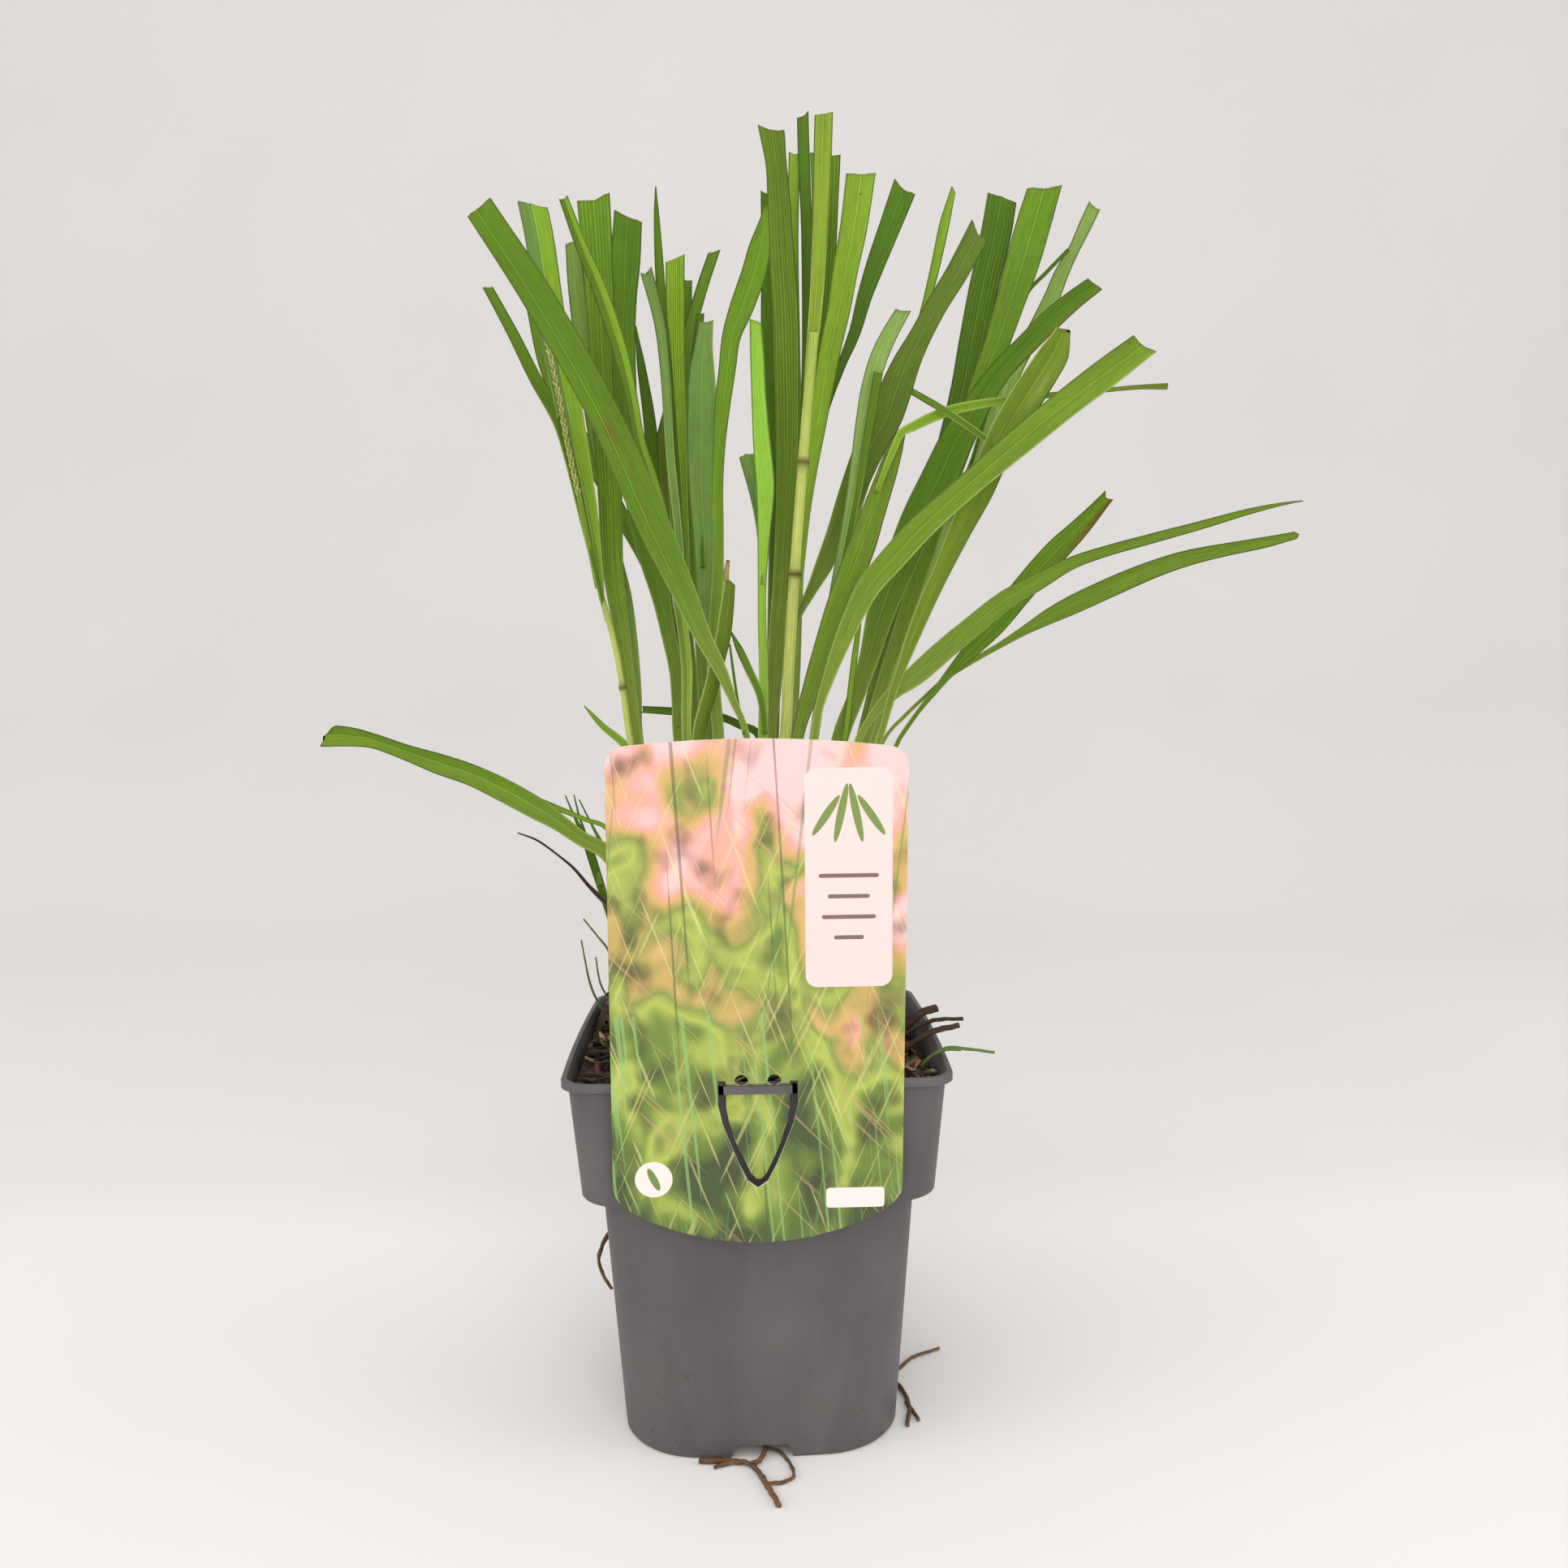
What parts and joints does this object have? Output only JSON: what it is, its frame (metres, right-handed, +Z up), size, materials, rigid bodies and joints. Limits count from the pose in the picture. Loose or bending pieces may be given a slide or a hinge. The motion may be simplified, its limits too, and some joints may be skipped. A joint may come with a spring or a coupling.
{
  "type": "potted transparent tall moor grass",
  "caption": "Moor grass in a square grey nursery pot: upright tillers with wide cut blades and low arching blades, bark mulch, and a hanging plant label on the front of the rim.",
  "frame": {"origin": "middle of the pot's flat foot, on the ground", "axes": "+Z up along the pot's axis; -Y is the front, where the label hangs; +X is to the right in the front view"},
  "size_m": [0.364, 0.1546, 0.5018],
  "materials": {
    "pot": "mid grey moulded plastic with light scuffs",
    "soil": "dark brown shredded bark and potting soil",
    "label": "printed glossy plastic sheet, bare white back",
    "root": "matte brown root",
    "weed": "matte green and purple stems",
    "leaf": "satin green blades with fine parallel veins"
  },
  "bodies": {
    "root": {"pot": "pot", "soil": "soil", "label": "label", "root_front": "root", "root_side_loop": "root", "root_right": "root", "seedling_upright": "weed", "seedling_leafy": "weed", "weed_sprig": "weed", "tiller_left_culm": "leaf", "tiller_left_dark": "leaf", "tiller_left_grey": "leaf", "tiller_left_far": "leaf", "tiller_left_broad": "leaf", "tiller_left_narrow": "leaf", "tiller_front_left": "leaf", "tiller_left_back": "leaf", "tiller_spiky": "leaf", "tiller_spiky_behind": "leaf", "tiller_silver": "leaf", "tiller_mid_left": "leaf", "tiller_rolled": "leaf", "tiller_bright": "leaf", "tiller_centre_dark": "leaf", "tiller_centre_tall": "leaf", "tiller_culm": "leaf", "tiller_centre_slim": "leaf", "tiller_centre_low": "leaf", "tiller_centre_light": "leaf", "tiller_centre_right": "leaf", "tiller_right_thin": "leaf", "tiller_right_grey": "leaf", "tiller_right_strips": "leaf", "tiller_arching": "leaf", "tiller_front_right": "leaf", "tiller_right_dark": "leaf", "tiller_right_light": "leaf", "tiller_right_far": "leaf", "tiller_right_olive": "leaf", "tiller_right_bitten": "leaf", "tiller_low_light": "leaf", "tiller_low_dark": "leaf", "tiller_low_left": "leaf", "tiller_cut_short": "leaf", "weed_grass_left": "weed", "tiller_behind_front_left": "leaf", "tiller_behind_front_right": "leaf", "tiller_behind_left_dark": "leaf", "tiller_behind_silver": "leaf", "tiller_behind_centre_tall": "leaf", "tiller_behind_right_bitten": "leaf", "tiller_behind_left_broad": "leaf", "tiller_behind_spiky": "leaf", "tiller_behind_bright": "leaf", "tiller_behind_right_olive": "leaf", "tiller_behind_centre_light": "leaf", "tiller_behind_right_light": "leaf"}
  },
  "joints": []
}
